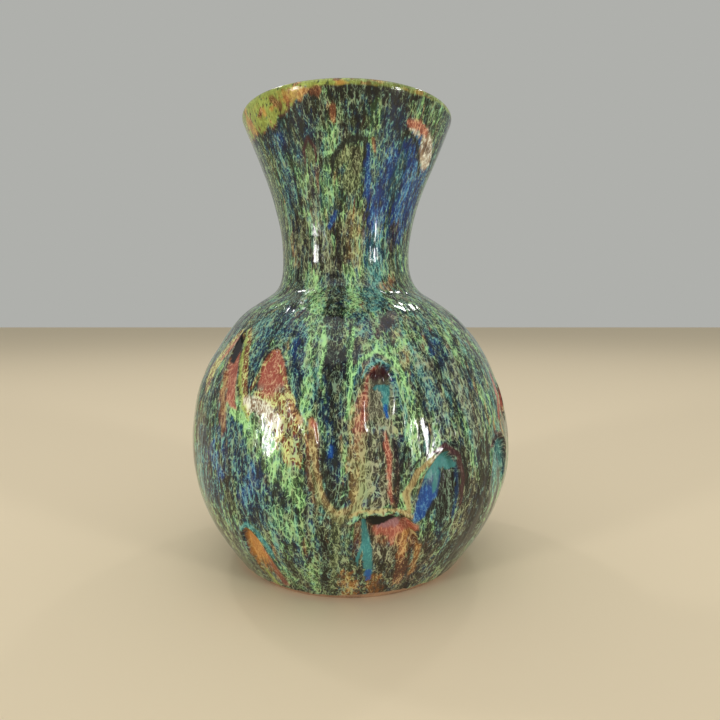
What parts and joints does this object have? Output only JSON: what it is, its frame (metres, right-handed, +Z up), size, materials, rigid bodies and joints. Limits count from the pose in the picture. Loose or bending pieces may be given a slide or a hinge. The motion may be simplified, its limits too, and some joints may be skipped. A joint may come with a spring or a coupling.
{
  "type": "bottle vase",
  "caption": "Thrown stoneware bottle vase with a round belly, narrow neck and flared mouth; thumb scoops in the wall and a thick, streaky, running glaze.",
  "frame": {"origin": "middle of the foot, on the surface that the vase stands on", "axes": "+Z up along the axis of the vase; -Y is the side that the picture shows; +X is to its right"},
  "size_m": [0.203, 0.203, 0.28],
  "materials": {
    "bare_clay": "matt, fired stoneware with a fine sandy grain",
    "joint_slip": "matt",
    "liner_glaze": "glossy",
    "belly_glaze": "high gloss, streaked and veined green, navy, brown and rust",
    "neck_glaze": "high gloss, streaked green, cobalt and brown",
    "rim_glaze": "high gloss, yellow-green with rust freckles",
    "scoop_glaze": "high gloss, red-orange breaking to tan, with teal and cobalt pools"
  },
  "bodies": {
    "root": {"foot_ring": "bare_clay", "lower_bowl": "bare_clay", "belly_joint_slip": "joint_slip", "upper_bowl": "bare_clay", "neck_joint_slip": "joint_slip", "neck": "bare_clay", "lip": "bare_clay", "bowl_liner": "liner_glaze", "neck_liner": "liner_glaze", "lower_coat": "belly_glaze", "belly_coat": "belly_glaze", "shoulder_coat": "belly_glaze", "neck_coat": "neck_glaze", "rim_coat": "rim_glaze", "scoop_glaze": "scoop_glaze"}
  },
  "joints": []
}
